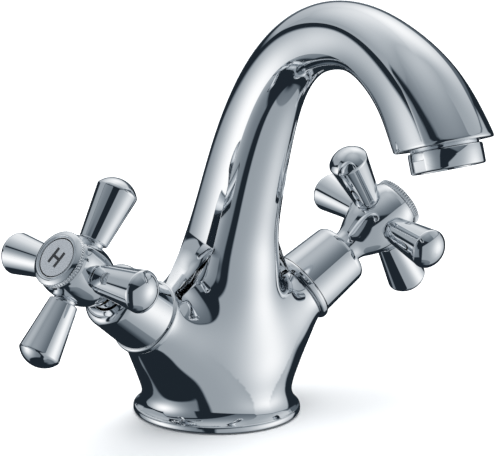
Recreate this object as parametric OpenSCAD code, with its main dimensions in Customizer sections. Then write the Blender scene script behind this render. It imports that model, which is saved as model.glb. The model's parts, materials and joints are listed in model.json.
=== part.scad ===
// Bathroom mixer faucet: a cast body and a swept spout, two quarter-turn valves on angled
// shoulders with cross handles, and a screwed-in aerator. Millimetres. +Z is up, the origin is
// the centre of the base on the deck, the spout points to -Y and the hot handle is on -X.

/* [Base and body] */
// Diameter of the base flange on the deck
base_d = 59.2; // [50:0.5:70]
// Height of the rounded lip round the base flange
lip_h = 2.6; // [1.6:0.1:5]
// Diameter of the waist above the flange
waist_d = 50.4; // [40:0.2:56]
// Height of the waist above the deck
waist_z = 9.5; // [7:0.5:14]
// Diameter of the round belly about the crossing of the valve axes
belly_d = 51.6; // [46:0.2:56]
// Lean of the vase towards the basin, in degrees
vase_lean = 9; // [0:0.5:14]
// Length of the vase from the valve crossing to the spout
vase_h = 40; // [34:0.5:46]
// Diameter where the vase meets the spout
neck_d = 35.4; // [30:0.2:40]

/* [Valve shoulders] */
// Height at which the valve axes cross the centre line
valve_z = 16.5; // [14:0.1:22]
// Distance of that crossing behind the centre of the base
valve_back = 1.6; // [0:0.1:4]
// Rise of each valve axis above the horizontal, in degrees
valve_rise = 34.2; // [20:0.2:45]
// Swing of each valve axis towards the basin, in degrees
valve_swing = 10; // [0:0.5:15]
// Distance from the crossing to the end face of a shoulder
shoulder_end = 40.2; // [36:0.2:48]
// Diameter of a shoulder at its end face
shoulder_d = 24; // [22:0.2:30]
// Diameter of the tapped valve bore
valve_bore_d = 18; // [16:0.5:20]
// Distance from the crossing to the floor of the valve bore
valve_floor = 16; // [14:0.5:20]

/* [Spout] */
// Radius of the waterway
waterway_r = 7; // [5:0.25:8]
// Tilt of the outlet face from the horizontal, in degrees
outlet_tilt = 18; // [0:1:30]
// Distance of the outlet centre in front of the centre line
outlet_reach = 113.2; // [90:0.2:140]
// Height of the outlet centre above the deck
outlet_z = 113.4; // [90:0.2:140]
// Diameter of the outlet face
outlet_d = 31.6; // [28:0.2:36]
// Diameter of the spigot between body and spout
spigot_d = 24; // [20:0.5:26]
// Length of the spigot
spigot_h = 10; // [6:0.5:14]

/* [Aerator] */
// Diameter of the tapped aerator socket
socket_d = 22; // [20:0.5:24]
// Depth of the aerator socket
socket_depth = 7.2; // [6:0.2:9]
// Diameter of the aerator collar
collar_d = 23.4; // [22:0.2:28]
// Distance from the outlet face to the foot of the collar
collar_h = 7.4; // [5:0.2:10]
// Width of the collar across its spanner flats
collar_flats = 22.8; // [20:0.2:24]

/* [Cover] */
// Diameter of the bead round the cover's lower edge
bead_d = 26.8; // [24:0.2:32]
// Height of the bead
bead_h = 3.2; // [1.5:0.1:4]
// Diameter of the cover above the bead
cover_low_d = 25; // [22:0.2:28]
// Diameter of the cover at its shoulder
cover_top_d = 22.4; // [20:0.2:26]
// Distance from the crossing to the outer end of the cover
cover_end = 63.2; // [60:0.5:72]

/* [Handle] */
// Distance from the crossing to the plane of the arms
cross_plane = 80.3; // [76:0.5:88]
// Diameter of the hub's neck
hub_neck_d = 12.2; // [11:0.2:14]
// Diameter of the hub at the arms
hub_d = 21.6; // [18:0.2:26]
// Distance from the crossing to the top of the hub
hub_top = 89.6; // [88:0.2:98]
// Distance from the handle axis to the tip of an arm
arm_reach = 34.3; // [28:0.1:42]
// Diameter of an arm's tip
arm_tip_d = 14.4; // [10:0.2:18]
// Diameter of an arm's cone beside the hub
arm_root_d = 10; // [7:0.2:10]
// Diameter of an arm's stub in the hub
arm_stub_d = 7.6; // [5:0.2:9]
// Turn of the hot cross about its axis at rest, in degrees
hot_turn = -2.4; // [-45:1:45]
// Turn of the cold cross about its axis at rest, in degrees
cold_turn = 11; // [-45:1:45]

/* [Index cap] */
// Diameter of the cap over its knurls
cap_d = 19.6; // [17:0.2:20]
// Height of the cap above the hub
cap_h = 2.9; // [2:0.1:4]
// Number of knurls round the rim
knurls = 60; // [36:1:90]
// Diameter of the index disc
index_d = 13.8; // [12:0.2:16]

/* [Inlets and fixing] */
// Distance of each inlet from the centre line, sideways
inlet_x = 9.5; // [8:0.5:12]
// Distance of the inlets in front of the centre line
inlet_y = 3; // [0:0.5:6]
// Tapping diameter of each inlet
inlet_d = 9; // [8:0.5:10]
// Depth of each tapped inlet
inlet_depth = 12; // [8:0.5:14]
// Distance of the stud hole behind the centre line
stud_y = 11; // [8:0.5:14]
// Tapping diameter of the stud hole
stud_d = 6.8; // [5:0.2:8.5]
// Depth of the stud hole
stud_depth = 14; // [10:0.5:16]

/* [Hidden] */
$fn = 96;
chrome = [0.76, 0.78, 0.81];
brass = [0.8, 0.64, 0.33];
rubber = [0.08, 0.08, 0.09];
white_ceramic = [0.93, 0.93, 0.9];
satin_grey = [0.6, 0.62, 0.65];
ink = [0.06, 0.06, 0.07];
plastic = [0.86, 0.87, 0.88];
steel = [0.7, 0.71, 0.72];

hot = -1;
cold = 1;
sides = [hot, cold];
arm_names = ["front", "upper", "rear", "lower"];
valve_pieces = ["bonnet", "bonnet_ring", "seat_seal", "fixed_disc", "cover", "moving_disc", "spindle",
                "lower_ring", "upper_ring", "clip", "spline_bush", "hub", "handle_screw", "index_cap",
                "index_disc", "index_letter"];
function side_name(side) = side == hot ? "hot" : "cold";

eps = 0.01;
over = 2;
base_r = base_d / 2;
waist_r = waist_d / 2;
lip_r = 0.9;
seal_r = 25.2;
seal_wide = 3;
seal_deep = 2;
bore_r = valve_bore_d / 2;
drilling_r = 2.8;
channel_r = 3.6;
chamber_r = 10.4;
chamber_low = 21.5;
chamber_high = 27.5;
waterway_low = 30;
valve_x = cos(valve_rise) * cos(valve_swing);
valve_y = -cos(valve_rise) * sin(valve_swing);

// distances along a valve axis, from the crossing of the axes
shank_foot = valve_floor + 1.2;
shank_r = bore_r - 0.1;
cavity_r = 7.4;
cavity_top = 27.5;
seal_top = valve_floor + 2.2;
fixed_top = seal_top + 2.4;
moving_foot = fixed_top + 0.02;
moving_top = moving_foot + 2.4;
bonnet_flange_r = 10.2;
bonnet_flange_h = 3;
hexagon_af = 17;
hexagon_h = 6.4;
bonnet_top = 58;
spindle_r = 4;
spindle_fit = 0.05;
ring_section = 1.6;
ring_groove_r = 2.8;
lower_ring_at = 32;
upper_ring_at = 37;
clip_at = bonnet_top + 0.3;
clip_h = 0.8;
clip_groove_r = 3.4;
spline_foot = 68;
spline_top = 78;
spline_teeth = 20;
spline_deep = 0.45;
bush_r = 5.4;
web_foot = 79;
web_top = 83.5;
screw_r = 2.45;
screw_head_r = 4.2;
screw_head_h = 2.6;
cup_r = 7;
arm_seat = 9.4;
arm_tail_at = 6;
arm_tail_r = 2.5;
arm_edge_at = 11.2;
arm_tip_at = arm_reach - 4.4;

function arc_points(x, y, r, from, to, steps) =
    [for (i = [0:steps]) [x + r * cos(from + (to - from) * i / steps), y + r * sin(from + (to - from) * i / steps)]];

// a smooth curve through b and c, with a and d the neighbours on either side
function through(a, b, c, d, t) =
    0.5 * (2 * b + (c - a) * t + (2 * a - 5 * b + 4 * c - d) * t * t + (3 * b - a - 3 * c + d) * t * t * t);

module on_valve(side) {
    translate([0, valve_back, valve_z])
        rotate([0, 90 - valve_rise, side == cold ? -valve_swing : 180 + valve_swing])
            children();
}

module on_vase() {
    translate([0, 0, valve_z])
        rotate([vase_lean, 0, 0])
            children();
}

module on_outlet() {
    translate([0, -outlet_reach, outlet_z])
        rotate([180 - outlet_tilt, 0, 0])
            children();
}

module tube(outer, inner, foot, top) {
    translate([0, 0, foot])
        difference() {
            cylinder(r = outer, h = top - foot);
            translate([0, 0, -over])
                cylinder(r = inner, h = top - foot + 2 * over);
        }
}

module rod(r, foot, top) {
    translate([0, 0, foot])
        cylinder(r = r, h = top - foot);
}

// a straight drilling of one radius from one point to another
module drilling(from, to, r) {
    run = to - from;
    turn = atan2(run[1], run[0]);
    translate(from)
        rotate([0, acos(run[2] / norm(run)), turn])
            rotate(-turn)
                cylinder(r = r, h = norm(run));
}

// ---- body

module foot_shape() {
    flare_from = base_r - 1.1;
    flare_drop = waist_z - lip_h - 0.2;
    flare_in = flare_from - waist_r;
    flare_r = (flare_in * flare_in + flare_drop * flare_drop) / (2 * flare_in);
    flare_angle = asin(flare_drop / flare_r);
    rotate_extrude()
        polygon(concat(
            [[0, 0], [base_r - lip_r, 0]],
            arc_points(base_r - lip_r, lip_r, lip_r, -90, 0, 4),
            arc_points(base_r - lip_r, lip_h - lip_r, lip_r, 0, 80, 4),
            arc_points(waist_r + flare_r, waist_z, flare_r, 180 + flare_angle, 180, 8),
            [[waist_r - 0.6, waist_z + 2.5], [0, waist_z + 2.5]]
        ));
}

module belly_shape() {
    intersection() {
        translate([0, 0, valve_z])
            sphere(d = belly_d);
        rod(belly_d, waist_z - 1.5, valve_z + belly_d);
    }
}

module vase_shape() {
    rotate_extrude()
        polygon([[0, 0], [24.3, 0], [23.4, 9], [22.1, 18], [20.7, 26], [19.2, 33], [neck_d / 2, vase_h],
                 [spigot_d / 2, vase_h], [spigot_d / 2, vase_h + spigot_h - 1],
                 [spigot_d / 2 - 1, vase_h + spigot_h], [0, vase_h + spigot_h]]);
}

module shoulder_shape() {
    end_r = shoulder_d / 2;
    rotate_extrude()
        polygon([[0, 6], [20.8, 6], [20, 16], [18.1, 24], [15.4, 32], [13.3, 36.6],
                 [end_r, shoulder_end - 0.6], [end_r - 0.6, shoulder_end], [0, shoulder_end]]);
}

module body() {
    color(chrome)
        difference() {
            union() {
                foot_shape();
                belly_shape();
                on_vase()
                    vase_shape();
                for (side = sides)
                    on_valve(side)
                        shoulder_shape();
            }
            for (side = sides) {
                outward = [side * valve_x, valve_y, sin(valve_rise)];
                floor_at = [0, valve_back, valve_z] + outward * valve_floor;
                chamber_at = [0, valve_back, valve_z] + outward * (chamber_low + channel_r);
                mouth_at = [0, -sin(vase_lean), cos(vase_lean)] * (waterway_low + channel_r) + [0, 0, valve_z];
                on_valve(side)
                    rod(bore_r, valve_floor, shoulder_end + over);
                on_valve(side)
                    rod(chamber_r, chamber_low, chamber_high);
                drilling([side * inlet_x, -inlet_y, inlet_depth - 1], floor_at, drilling_r);
                drilling(chamber_at, mouth_at, channel_r);
                translate([side * inlet_x, -inlet_y, -over])
                    cylinder(d = inlet_d, h = inlet_depth + over);
            }
            on_vase()
                rod(waterway_r, waterway_low, vase_h + spigot_h + over);
            translate([0, stud_y, -over])
                cylinder(d = stud_d, h = stud_depth + over);
            tube(seal_r + seal_wide / 2, seal_r - seal_wide / 2, -over, seal_deep);
        }
}

module base_seal() {
    color(rubber)
        tube(seal_r + seal_wide / 2, seal_r - seal_wide / 2, 0, seal_deep);
}

// ---- spout: stations give distance in front, height, lean from the vertical and radius

vase_end = [vase_h * sin(vase_lean), valve_z + vase_h * cos(vase_lean)];
stations = [
    [vase_end[0], vase_end[1], vase_lean, neck_d / 2],
    [8.8, 66.5, 14, 15.8],
    [12.6, 80, 17, 14.5],
    [17.3, 94.5, 20, 13.6],
    [23, 108.6, 26, 12.6],
    [31.7, 123.4, 38, 11.4],
    [43.5, 134.4, 57, 10.9],
    [58, 140.4, 77, 11.1],
    [73.5, 141.1, 97, 11.2],
    [87.9, 136.5, 116, 12.2],
    [101.5, 127.5, 134, 14],
    [outlet_reach, outlet_z, 180 - outlet_tilt, outlet_d / 2]
];
intervals = len(stations) - 1;
rings_between = 5;
ring_sides = 48;
ring_count = intervals * rings_between;

function station(i) = stations[min(max(i, 0), intervals)];
function section(k) =
    let (i = min(floor(k / rings_between), intervals - 1), t = k / rings_between - i)
        through(station(i - 1), station(i), station(i + 1), station(i + 2), t);
function on_vase_ring(h, r) = [h * sin(vase_lean), valve_z + h * cos(vase_lean), vase_lean, r];
function on_outlet_ring(in, r) =
    [outlet_reach - in * sin(outlet_tilt), outlet_z + in * cos(outlet_tilt), 180 - outlet_tilt, r];
function ring(s) =
    [for (j = [0:ring_sides - 1])
        let (a = 360 * j / ring_sides)
            [s[3] * cos(a), -s[0] + s[3] * sin(a) * cos(s[2]), s[1] + s[3] * sin(a) * sin(s[2])]];

// the outside of the tube, then its bore: spigot socket, waterway and aerator socket
bore_fit = 0.08;
outside = [for (k = [0:ring_count]) section(k)];
spigot_bore_r = spigot_d / 2 + bore_fit;
spigot_bore_h = vase_h + spigot_h + bore_fit;
inside = concat(
    [on_vase_ring(vase_h, spigot_bore_r), on_vase_ring(spigot_bore_h, spigot_bore_r),
     on_vase_ring(spigot_bore_h, waterway_r)],
    [for (k = [rings_between + 1:ring_count - 4]) [section(k)[0], section(k)[1], section(k)[2], waterway_r]],
    [on_outlet_ring(socket_depth, waterway_r), on_outlet_ring(socket_depth, socket_d / 2 + bore_fit),
     on_outlet_ring(0, socket_d / 2 + bore_fit)]
);

// the two triangles of each side of a wall between neighbouring rings
function wall(first, rings, outward) =
    [for (k = [0:rings - 2]) for (j = [0:ring_sides - 1])
        let (a = first + k * ring_sides + j, b = first + k * ring_sides + (j + 1) % ring_sides)
            let (c = b + ring_sides, d = a + ring_sides)
                each outward ? [[a, d, c], [a, c, b]] : [[a, c, d], [a, b, c]]];

module spout() {
    outer_end = ring_count * ring_sides;
    inner = outer_end + ring_sides;
    inner_end = inner + (len(inside) - 1) * ring_sides;
    color(chrome)
        polyhedron(
            points = concat([for (s = outside) each ring(s)], [for (s = inside) each ring(s)]),
            faces = concat(
                wall(0, len(outside), true),
                wall(inner, len(inside), false),
                [for (j = [0:ring_sides - 1])
                    let (n = (j + 1) % ring_sides)
                        each [[j, n, inner + n], [j, inner + n, inner + j],
                              [outer_end + j, inner_end + n, outer_end + n],
                              [outer_end + j, inner_end + j, inner_end + n]]]
            )
        );
}

// ---- aerator

module aerator_housing() {
    thread_r = socket_d / 2 - 0.1;
    collar_r = collar_d / 2;
    neck_h = 0.9;
    edge = 0.5;
    inner_r = 9.2;
    lip_h_in = 0.8;
    flats_from = 3.6;
    color(chrome)
        on_outlet()
            difference() {
                rotate_extrude()
                    polygon([[0, -6], [thread_r, -6], [thread_r, neck_h], [collar_r - edge, neck_h],
                             [collar_r, neck_h + edge], [collar_r, collar_h - edge], [collar_r - edge, collar_h],
                             [0, collar_h]]);
                rod(inner_r, -6 - over, collar_h - lip_h_in);
                rod(inner_r - 0.6, -over, collar_h + over);
                for (side = sides)
                    translate([side * (collar_flats / 2 + collar_r), 0, flats_from + collar_h])
                        cube([2 * collar_r, 2 * collar_d, 2 * collar_h], center = true);
            }
}

module aerator_seal() {
    color(rubber)
        on_outlet()
            tube(socket_d / 2 - 0.1, 8, -socket_depth, -6);
}

module aerator_insert() {
    insert_r = 9.1;
    insert_foot = collar_h - 0.9;
    grid_h = 1.6;
    hole_r = 0.95;
    pitch = 2.35;
    rows = 3;
    color(plastic)
        on_outlet()
            difference() {
                rod(insert_r, -5.2, insert_foot);
                rod(insert_r - 0.9, -5.2 - over, insert_foot - grid_h);
                for (i = [-rows:rows])
                    for (j = [-rows:rows])
                        if (abs(i + j) <= rows)
                            translate([pitch * (i + j / 2), pitch * j * sin(60), 0])
                                cylinder(r = hole_r, h = collar_h + over);
            }
}

module aerator_mesh() {
    wire = 0.35;
    pitch = 1.5;
    wires = 5;
    mesh_r = 9.1;
    color(steel)
        on_outlet() {
            tube(mesh_r, mesh_r - 0.8, -5.9, -5.25);
            for (i = [-wires:wires]) {
                half = sqrt(pow(mesh_r - 0.4, 2) - pow(i * pitch, 2));
                translate([i * pitch - wire / 2, -half, -5.75])
                    cube([wire, 2 * half, wire]);
                translate([-half, i * pitch - wire / 2, -5.75])
                    cube([2 * half, wire, wire]);
            }
        }
}

// ---- valve, fixed pieces, drawn along the valve axis

module sector(r, from, to, foot, top) {
    reach = 2 * r;
    steps = 6;
    translate([0, 0, foot])
        linear_extrude(top - foot)
            polygon(concat([[0, 0]], arc_points(0, 0, reach, from, to, steps)));
}

module bonnet() {
    window_w = 6;
    window_foot = 23;
    window_top = 26.6;
    stop_inner = 6;
    stop_foot = 25.7;
    flange_top = shoulder_end + bonnet_flange_h;
    groove_r = bore_r - 1.5;
    color(brass)
        difference() {
            union() {
                rod(shank_r, shank_foot, shoulder_end);
                rod(bonnet_flange_r, shoulder_end, flange_top);
                translate([0, 0, flange_top])
                    cylinder(d = hexagon_af / cos(30), h = hexagon_h, $fn = 6);
                rod(6.4, flange_top, bonnet_top);
            }
            rod(cavity_r, shank_foot - over, stop_foot);
            difference() {
                rod(cavity_r, stop_foot - eps, cavity_top);
                difference() {
                    sector(cavity_r, 80, 280, stop_foot - over, cavity_top + over);
                    rod(stop_inner, stop_foot - 2 * over, cavity_top + 2 * over);
                }
            }
            rod(spindle_r + spindle_fit, cavity_top - over, bonnet_top + over);
            for (side = sides)
                translate([-window_w / 2, side * bore_r - cavity_r / 2, window_foot])
                    cube([window_w, cavity_r, window_top - window_foot]);
            tube(bore_r + over, groove_r, shoulder_end - 3, shoulder_end - 1.4);
        }
}

module bonnet_ring() {
    color(rubber)
        tube(bore_r - 0.01, bore_r - 1.49, shoulder_end - 2.98, shoulder_end - 1.42);
}

module seat_seal() {
    color(rubber)
        tube(cavity_r - 0.1, 6.3, valve_floor, seal_top);
}

module fixed_disc() {
    color(white_ceramic)
        difference() {
            rod(cavity_r - 0.1, seal_top, fixed_top);
            for (from = [-32, 148])
                difference() {
                    intersection() {
                        sector(cavity_r, from, from + 64, seal_top - over, fixed_top + over);
                        rod(5.6, seal_top - over, fixed_top + over);
                    }
                    rod(1.6, seal_top - 2 * over, fixed_top + 2 * over);
                }
        }
}

module cover() {
    bead_r = bead_d / 2;
    bead_edge = 1.1;
    bead_top = shoulder_end + bead_h;
    low_r = cover_low_d / 2;
    top_r = cover_top_d / 2;
    round_r = 3;
    wall = 1.2;
    hole_r = hub_neck_d / 2 + 0.4;
    seat_r = bonnet_flange_r + 0.05;
    color(chrome)
        difference() {
            rotate_extrude()
                polygon(concat(
                    [[0, shoulder_end]],
                    arc_points(bead_r - bead_edge, shoulder_end + bead_edge, bead_edge, -90, 0, 4),
                    arc_points(bead_r - bead_edge, bead_top - bead_edge, bead_edge, 0, 90, 4),
                    [[low_r, bead_top + 0.1]],
                    arc_points(top_r - round_r, cover_end - round_r, round_r, 0, 90, 7),
                    [[0, cover_end]]
                ));
            rotate_extrude()
                polygon([[0, shoulder_end - over], [seat_r, shoulder_end - over],
                         [seat_r, shoulder_end + bonnet_flange_h + 0.3], [low_r - wall, bead_top + 1.4],
                         [top_r - wall, cover_end - round_r], [top_r - round_r, cover_end - wall],
                         [hole_r, cover_end - wall], [hole_r, cover_end + over], [0, cover_end + over]]);
        }
}

// ---- valve, turning pieces, drawn along the valve axis

module moving_disc() {
    color(white_ceramic)
        difference() {
            rod(cavity_r - 0.08, moving_foot, moving_top);
            for (from = [58, 238])
                difference() {
                    intersection() {
                        sector(cavity_r, from, from + 64, moving_foot - over, moving_top + over);
                        rod(5.6, moving_foot - over, moving_top + over);
                    }
                    rod(1.6, moving_foot - 2 * over, moving_top + 2 * over);
                }
            translate([-over * cavity_r, -2.1, moving_top - 0.8])
                cube([2 * over * cavity_r, 4.2, over]);
        }
}

function star(teeth, outer, deep) =
    [for (i = [0:2 * teeth - 1])
        let (r = i % 2 == 0 ? outer : outer - deep, a = 180 * i / teeth)
            [r * cos(a), r * sin(a)]];

module spindle() {
    shoulder_foot = 25.1;
    shoulder_top = cavity_top - 0.15;
    tongue_foot = moving_top - 0.75;
    tongue_l = 13;
    color(brass)
        difference() {
            union() {
                translate([-tongue_l / 2, -2, tongue_foot])
                    cube([tongue_l, 4, shoulder_foot + 0.4 - tongue_foot]);
                rod(5.7, shoulder_foot, shoulder_top);
                intersection() {
                    sector(cavity_r, -78, -12, shoulder_foot + 0.7, shoulder_top);
                    rod(6.9, shoulder_foot, shoulder_top);
                }
                rod(spindle_r, shoulder_top, spline_foot);
                translate([0, 0, spline_foot])
                    linear_extrude(spline_top - spline_foot)
                        polygon(star(spline_teeth, spindle_r - 0.04, spline_deep));
            }
            for (at = [lower_ring_at, upper_ring_at])
                tube(spindle_r + over, ring_groove_r, at, at + ring_section);
            tube(spindle_r + over, clip_groove_r, clip_at, clip_at + clip_h);
            rod(screw_r, spline_foot + 2, spline_top + over);
        }
}

module spindle_ring(at) {
    color(rubber)
        tube(spindle_r + 0.02, ring_groove_r + 0.02, at + 0.02, at + ring_section - 0.02);
}

module clip() {
    color(steel)
        difference() {
            tube(5.5, clip_groove_r + 0.03, clip_at + 0.05, clip_at + clip_h - 0.05);
            sector(5.5, -25, 25, clip_at - over, clip_at + clip_h + over);
        }
}

module spline_bush() {
    color(plastic)
        translate([0, 0, spline_foot + 0.2])
            difference() {
                cylinder(r = bush_r, h = web_foot - spline_foot - 0.3);
                translate([0, 0, -over])
                    linear_extrude(web_foot - spline_foot + 2 * over)
                        polygon(star(spline_teeth, spindle_r + spindle_fit, spline_deep));
            }
}

module hub() {
    neck_r = hub_neck_d / 2;
    full_r = hub_d / 2;
    neck_foot = cover_end - 4;
    color(chrome)
        difference() {
            rotate_extrude()
                polygon([[0, neck_foot], [neck_r - 0.5, neck_foot], [neck_r, neck_foot + 0.6],
                         [neck_r, cover_end + 1.8], [neck_r + 0.4, cover_end + 3.4], [neck_r + 1.3, cover_end + 5.2],
                         [neck_r + 2.6, cover_end + 7.8], [full_r - 1, cover_end + 10.8],
                         [full_r - 0.3, cross_plane - 2.4], [full_r, cross_plane + 1], [full_r, cross_plane + 4.4],
                         [full_r - 0.3, hub_top - 2.6], [full_r - 0.8, hub_top - 1], [full_r - 1.4, hub_top],
                         [0, hub_top]]);
            rod(spindle_r + 0.3, neck_foot - over, spline_foot + over);
            rod(bush_r + 0.02, spline_foot, web_foot);
            rod(screw_r + 0.15, web_foot - over, web_top + over);
            rod(cup_r, web_top, hub_top + over);
            for (i = [0:3])
                translate([0, 0, cross_plane])
                    rotate([0, 90, 90 * i]) {
                        rod(arm_tail_r + 0.02, arm_tail_at - 0.1, arm_seat + over);
                        rod(arm_stub_d / 2 + 0.02, arm_seat, full_r + over);
                    }
        }
}

function cross_turn(side) = side == cold ? cold_turn : hot_turn;
function arm_angle(side, i) = cross_turn(side) + (side == cold ? -90 - 90 * i : 90 + 90 * i);

module arm() {
    stub_r = arm_stub_d / 2;
    root_r = arm_root_d / 2;
    tip_r = arm_tip_d / 2;
    dome_h = arm_reach - arm_tip_at - 1.6;
    dome_edge = tip_r - 0.8;
    dome_r = (dome_edge * dome_edge + dome_h * dome_h) / (2 * dome_h);
    color(chrome)
        rotate_extrude()
            polygon(concat(
                [[0, arm_tail_at], [arm_tail_r, arm_tail_at], [arm_tail_r, arm_seat], [stub_r, arm_seat],
                 [stub_r, arm_edge_at - 0.2], [root_r - 0.3, arm_edge_at], [root_r, arm_edge_at + 0.4],
                 [tip_r, arm_tip_at - 0.4], [tip_r, arm_tip_at + 0.4]],
                arc_points(0, arm_reach - dome_r, dome_r, acos(dome_edge / dome_r), 90, 8)
            ));
}

module handle_screw() {
    hexagon = 3.5;
    color(steel)
        difference() {
            union() {
                rod(screw_r - 0.03, spline_foot + 3, web_top + 1);
                rod(screw_head_r, web_top + 0.02, web_top + screw_head_h);
            }
            translate([0, 0, web_top + screw_head_h - 1.6])
                cylinder(d = hexagon, h = over, $fn = 6);
        }
}

module index_cap() {
    cap_r = cap_d / 2;
    knurl_deep = 0.36;
    rim_r = cap_r - knurl_deep / 2;
    land = 0.35;
    bevel_h = 0.9;
    bevel_w = 1.2;
    plug_foot = 87;
    groove_deep = 0.7;
    disc_deep = 1;
    top = hub_top + cap_h;
    color(chrome)
        difference() {
            union() {
                rod(rim_r, hub_top + 0.02, top - bevel_h);
                translate([0, 0, top - bevel_h])
                    cylinder(r1 = rim_r, r2 = rim_r - bevel_w, h = bevel_h);
                translate([0, 0, hub_top + land])
                    linear_extrude(cap_h - bevel_h - 2 * land)
                        polygon(star(knurls, cap_r, knurl_deep));
                tube(cup_r - 0.05, cup_r - 1.2, plug_foot, hub_top + 0.5);
            }
            tube(index_d / 2 + 0.75, index_d / 2 - eps, top - groove_deep, top + over);
            rod(index_d / 2, top - disc_deep, top + over);
        }
}

module index_disc() {
    color(satin_grey)
        rod(index_d / 2 - 0.3, hub_top + cap_h - 1, hub_top + cap_h - 0.15);
}

// a letter turned so that it stands upright, with a slight lean, while the cross is at rest
module index_letter(side) {
    bar = 1.15;
    high = 5.8;
    wide = 4.6;
    lean = 18;
    foot = hub_top + cap_h - 0.15;
    letter_h = 0.12;
    curve_r = high / 2;
    color(ink)
        rotate([0, 0, cross_turn(side) + 90 - lean])
            if (side == hot) {
                for (end = [-1, 1])
                    translate([end * (wide - bar) / 2 - bar / 2, -high / 2, foot])
                        cube([bar, high, letter_h]);
                translate([-wide / 2 + bar / 2, -bar / 2, foot])
                    cube([wide - bar, bar, letter_h]);
            } else {
                difference() {
                    tube(curve_r, curve_r - bar, foot, foot + letter_h);
                    sector(curve_r, -42, 42, foot - over, foot + over);
                }
            }
}

// ---- drawing

body();
spout();
base_seal();
aerator_housing();
aerator_seal();
aerator_insert();
aerator_mesh();
for (side = sides) {
    name = side_name(side);
    on_valve(side) bonnet();
    on_valve(side) bonnet_ring();
    on_valve(side) seat_seal();
    on_valve(side) fixed_disc();
    on_valve(side) cover();
    on_valve(side) moving_disc();
    on_valve(side) spindle();
    on_valve(side) spindle_ring(lower_ring_at);
    on_valve(side) spindle_ring(upper_ring_at);
    on_valve(side) clip();
    on_valve(side) spline_bush();
    on_valve(side) rotate([0, 0, cross_turn(side)]) hub();
    on_valve(side) handle_screw();
    on_valve(side) index_cap();
    on_valve(side) index_disc();
    on_valve(side) index_letter(side);
    for (i = [0:3])
        on_valve(side)
                translate([0, 0, cross_plane])
                    rotate([0, 90, arm_angle(side, i)])
                        arm();
}
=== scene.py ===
import json
import math

import bmesh
import bpy
import numpy as np
from mathutils import Matrix, Vector


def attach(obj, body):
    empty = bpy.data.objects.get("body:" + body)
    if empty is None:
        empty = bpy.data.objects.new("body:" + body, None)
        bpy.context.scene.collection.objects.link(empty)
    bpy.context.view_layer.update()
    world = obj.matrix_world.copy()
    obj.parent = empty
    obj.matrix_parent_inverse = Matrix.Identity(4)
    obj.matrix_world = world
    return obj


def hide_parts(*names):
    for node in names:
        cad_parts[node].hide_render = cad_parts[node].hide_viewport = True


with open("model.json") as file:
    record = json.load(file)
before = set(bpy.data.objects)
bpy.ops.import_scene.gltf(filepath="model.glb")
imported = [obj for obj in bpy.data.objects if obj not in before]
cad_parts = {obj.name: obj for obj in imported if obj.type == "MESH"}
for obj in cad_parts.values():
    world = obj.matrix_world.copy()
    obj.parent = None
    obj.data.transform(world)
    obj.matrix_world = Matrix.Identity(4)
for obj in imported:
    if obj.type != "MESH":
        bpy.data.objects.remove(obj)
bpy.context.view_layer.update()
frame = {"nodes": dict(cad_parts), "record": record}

MM = 0.001

# ---- sizes in millimetres and degrees, the same as the CAD's

SIDES = ("hot", "cold")
PIVOT = np.array([0, 1.6, 16.5])
RISE = math.radians(34.2)
SWING = math.radians(10)
TURN = {"hot": -2.4, "cold": 11.0}
SHOULDER_END = 40.2
COVER_END = 63.2
CROSS = 80.3
HUB_TOP = 89.6
CAP_TOP = 92.5
BASE_R = 29.58
OUTLET_REACH, OUTLET_HEIGHT, OUTLET_TILT = 113.2, 113.4, 18.0
COLLAR_R, COLLAR_FLATS = 11.7, 22.8
LETTER_LEAN = 18

# tapped holes in the underside, two inlets and the stud hole: x, y, radius, depth
TAPPED = [(-9.5, -3, 4.5, 12), (9.5, -3, 4.5, 12), (0, 11, 3.4, 14)]

# stations of the body and spout: distance in front, height, lean in degrees, radius
STATIONS = [
    (0.0, 12.0, 0.0, 25.1),
    (0.3, 20.0, 1.0, 25.4),
    (1.3, 29.0, 3.0, 23.7),
    (2.9, 38.0, 5.3, 21.5),
    (4.7, 47.5, 7.4, 19.3),
    (6.5, 56.0, 9.5, 17.7),
    (8.8, 66.5, 14.0, 15.8),
    (12.6, 80.0, 17.0, 14.5),
    (17.3, 94.5, 20.0, 13.6),
    (23.0, 108.6, 26.0, 12.6),
    (31.7, 123.4, 38.0, 11.4),
    (43.5, 134.4, 57.0, 10.9),
    (58.0, 140.4, 77.0, 11.1),
    (73.5, 141.1, 97.0, 11.2),
    (87.9, 136.5, 116.0, 12.2),
    (101.5, 127.5, 134.0, 14.0),
    (113.2, 113.4, 162.0, 15.8),
]


# ---- helpers

def spline(xs, ys):
    """A natural cubic spline and its slope, for arrays."""
    xs, ys = np.asarray(xs, float), np.asarray(ys, float)
    n = len(xs)
    h = np.diff(xs)
    a = np.zeros((n, n))
    b = np.zeros(n)
    a[0, 0] = a[-1, -1] = 1
    for i in range(1, n - 1):
        a[i, i - 1 : i + 2] = h[i - 1], 2 * (h[i - 1] + h[i]), h[i]
        b[i] = 6 * ((ys[i + 1] - ys[i]) / h[i] - (ys[i] - ys[i - 1]) / h[i - 1])
    m = np.linalg.solve(a, b)

    def value(x, slope=False):
        x = np.asarray(x, float)
        i = np.clip(np.searchsorted(xs, x) - 1, 0, n - 2)
        hi, t = h[i], x - xs[i]
        c1 = (ys[i + 1] - ys[i]) / hi - hi * (2 * m[i] + m[i + 1]) / 6
        c3 = (m[i + 1] - m[i]) / (6 * hi)
        if slope:
            return c1 + t * (m[i] + 3 * c3 * t)
        return ys[i] + t * (c1 + t * (m[i] / 2 + c3 * t))

    return value


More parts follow.
